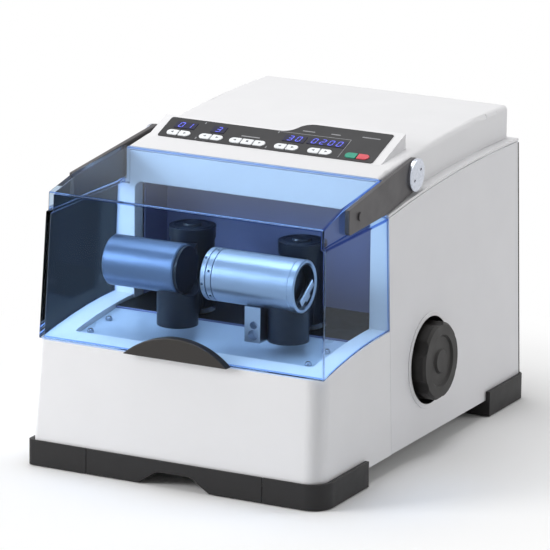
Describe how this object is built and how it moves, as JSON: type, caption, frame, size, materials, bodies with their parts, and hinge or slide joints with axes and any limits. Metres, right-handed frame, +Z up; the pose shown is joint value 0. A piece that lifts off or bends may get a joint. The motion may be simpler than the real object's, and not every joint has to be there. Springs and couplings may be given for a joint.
{
  "type": "cryogenic ball mill",
  "caption": "Benchtop mill with a tinted hood over two swinging cylinders, a sloped key panel, a side handwheel and rear coolant connectors.",
  "frame": {"origin": "centre of the feet's footprint, on the surface that the rubber pads stand on", "axes": "+Z up, front and hood towards -Y, handwheel on the +X side"},
  "size_m": [0.3922, 0.577, 0.3745],
  "materials": {
    "white_paint": "satin",
    "grey_paint": "satin",
    "dark_liner": "matte",
    "base_steel": "brushed",
    "black_plastic": "matte",
    "rubber": "matte",
    "tinted_glass": "clear",
    "dark_bar": "satin",
    "bright_steel": "turned",
    "cast_aluminium": "cast",
    "dark_metal": "matte",
    "membrane": "satin",
    "display": "gloss",
    "grey_plastic": "matte",
    "key_cap": "satin"
  },
  "bodies": {
    "housing": {"front_casing": "white_paint", "bulkhead_frame": "white_paint", "top_cover": "white_paint", "chamber_tray": "white_paint", "side_panel_left": "grey_paint", "side_panel_right": "grey_paint", "rear_panel": "grey_paint", "chamber_liner": "dark_liner", "base_plate": "base_steel", "front_base_left": "black_plastic", "front_base_centre": "black_plastic", "front_base_right": "black_plastic", "rear_foot_left": "black_plastic", "rear_foot_right": "black_plastic", "mains_inlet": "black_plastic", "rubber_pads": "rubber", "drive_belt": "rubber", "tray_screws": "bright_steel", "hinge_pins": "bright_steel", "coolant_inlet": "bright_steel", "exhaust_outlet": "bright_steel", "shaft_bearings": "cast_aluminium", "drive_motor": "dark_metal", "membrane_panel": "membrane", "display_windows": "display", "handwheel_recess": "grey_plastic"},
    "hood": {"hood_shell": "tinted_glass", "hood_bar_left": "dark_bar", "hood_bar_right": "dark_bar", "hood_handle": "dark_bar", "hood_screws": "bright_steel"},
    "counter_swing_arm": {"counter_arm": "dark_metal", "counter_shaft": "bright_steel", "counterweight": "bright_steel", "counter_end_cap": "dark_metal"},
    "jar_swing_arm": {"jar_arm": "dark_metal", "jar_shaft": "bright_steel", "jar_holder": "bright_steel", "jar_lock_rings": "bright_steel", "grinding_jar": "bright_steel"},
    "counter_rod_link": {"counter_rod": "cast_aluminium"},
    "jar_rod_link": {"jar_rod": "cast_aluminium"},
    "eccentric": {"eccentric_shaft": "bright_steel", "drive_pulley": "cast_aluminium"},
    "motor_rotor": {"motor_pulley": "cast_aluminium"},
    "handwheel_knob": {"handwheel": "grey_plastic"},
    "mains_rocker": {"mains_switch": "black_plastic"},
    "button_memory_down": {"key_memory_down": "key_cap"},
    "button_memory_up": {"key_memory_up": "key_cap"},
    "button_cycle_down": {"key_cycle_down": "key_cap"},
    "button_cycle_up": {"key_cycle_up": "key_cap"},
    "button_mode_left": {"key_mode_left": "key_cap"},
    "button_mode_centre": {"key_mode_centre": "key_cap"},
    "button_mode_right": {"key_mode_right": "key_cap"},
    "button_frequency_down": {"key_frequency_down": "key_cap"},
    "button_frequency_up": {"key_frequency_up": "key_cap"},
    "button_time_down": {"key_time_down": "key_cap"},
    "button_time_up": {"key_time_up": "key_cap"},
    "button_start": {"key_start": "key_cap"},
    "button_stop": {"key_stop": "key_cap"}
  },
  "joints": [
    {"name": "hood_hinge", "type": "hinge", "parent": "housing", "child": "hood", "pos_m": [0, -0.011, 0.335], "axis": [-1, 0, 0], "range_deg": [0, 85]},
    {"name": "counter_swing", "type": "hinge", "parent": "housing", "child": "counter_swing_arm", "pos_m": [-0.0715, -0.096, 0.2], "axis": [0, 0, 1], "range_deg": [-3.8, 3.8]},
    {"name": "jar_swing", "type": "hinge", "parent": "housing", "child": "jar_swing_arm", "pos_m": [0.0715, -0.096, 0.2], "axis": [0, 0, 1], "range_deg": [-3.8, 3.8]},
    {"name": "counter_rod_pivot", "type": "hinge", "parent": "counter_swing_arm", "child": "counter_rod_link", "pos_m": [-0.0715, -0.036, 0.133], "axis": [0, 0, 1], "range_deg": [-3.8, 3.8]},
    {"name": "jar_rod_pivot", "type": "hinge", "parent": "jar_swing_arm", "child": "jar_rod_link", "pos_m": [0.0715, -0.036, 0.141], "axis": [0, 0, 1], "range_deg": [-3.8, 3.8]},
    {"name": "eccentric_turn", "type": "hinge", "parent": "housing", "child": "eccentric", "pos_m": [0, -0.036, 0.1], "axis": [0, 0, 1], "continuous": true},
    {"name": "motor_turn", "type": "hinge", "parent": "housing", "child": "motor_rotor", "pos_m": [0, 0.13, 0.1], "axis": [0, 0, 1], "continuous": true},
    {"name": "handwheel_turn", "type": "hinge", "parent": "housing", "child": "handwheel_knob", "pos_m": [0.18334, 0.016, 0.1085], "axis": [0.9995, 0, 0.0303], "continuous": true},
    {"name": "mains_rocker_turn", "type": "hinge", "parent": "housing", "child": "mains_rocker", "pos_m": [-0.0805, 0.2618, 0.074], "axis": [1, 0, 0], "range_deg": [-5, 5]},
    {"name": "press_memory_down", "type": "slide", "parent": "housing", "child": "button_memory_down", "axis": [0, 0.3502, -0.9367], "range_m": [0, 0.0006], "stiffness_N_per_m": 600},
    {"name": "press_memory_up", "type": "slide", "parent": "housing", "child": "button_memory_up", "axis": [0, 0.3502, -0.9367], "range_m": [0, 0.0006], "stiffness_N_per_m": 600},
    {"name": "press_cycle_down", "type": "slide", "parent": "housing", "child": "button_cycle_down", "axis": [0, 0.3502, -0.9367], "range_m": [0, 0.0006], "stiffness_N_per_m": 600},
    {"name": "press_cycle_up", "type": "slide", "parent": "housing", "child": "button_cycle_up", "axis": [0, 0.3502, -0.9367], "range_m": [0, 0.0006], "stiffness_N_per_m": 600},
    {"name": "press_mode_left", "type": "slide", "parent": "housing", "child": "button_mode_left", "axis": [0, 0.3502, -0.9367], "range_m": [0, 0.0006], "stiffness_N_per_m": 600},
    {"name": "press_mode_centre", "type": "slide", "parent": "housing", "child": "button_mode_centre", "axis": [0, 0.3502, -0.9367], "range_m": [0, 0.0006], "stiffness_N_per_m": 600},
    {"name": "press_mode_right", "type": "slide", "parent": "housing", "child": "button_mode_right", "axis": [0, 0.3502, -0.9367], "range_m": [0, 0.0006], "stiffness_N_per_m": 600},
    {"name": "press_frequency_down", "type": "slide", "parent": "housing", "child": "button_frequency_down", "axis": [0, 0.3502, -0.9367], "range_m": [0, 0.0006], "stiffness_N_per_m": 600},
    {"name": "press_frequency_up", "type": "slide", "parent": "housing", "child": "button_frequency_up", "axis": [0, 0.3502, -0.9367], "range_m": [0, 0.0006], "stiffness_N_per_m": 600},
    {"name": "press_time_down", "type": "slide", "parent": "housing", "child": "button_time_down", "axis": [0, 0.3502, -0.9367], "range_m": [0, 0.0006], "stiffness_N_per_m": 600},
    {"name": "press_time_up", "type": "slide", "parent": "housing", "child": "button_time_up", "axis": [0, 0.3502, -0.9367], "range_m": [0, 0.0006], "stiffness_N_per_m": 600},
    {"name": "press_start", "type": "slide", "parent": "housing", "child": "button_start", "axis": [0, 0.3502, -0.9367], "range_m": [0, 0.0006], "stiffness_N_per_m": 600},
    {"name": "press_stop", "type": "slide", "parent": "housing", "child": "button_stop", "axis": [0, 0.3502, -0.9367], "range_m": [0, 0.0006], "stiffness_N_per_m": 600}
  ],
  "couplings": [
    {"joint": "jar_swing", "follows": "counter_swing", "ratio": -1},
    {"joint": "counter_rod_pivot", "follows": "counter_swing", "ratio": -1},
    {"joint": "jar_rod_pivot", "follows": "counter_swing", "ratio": 1},
    {"joint": "motor_turn", "follows": "eccentric_turn", "ratio": 2.5455}
  ]
}
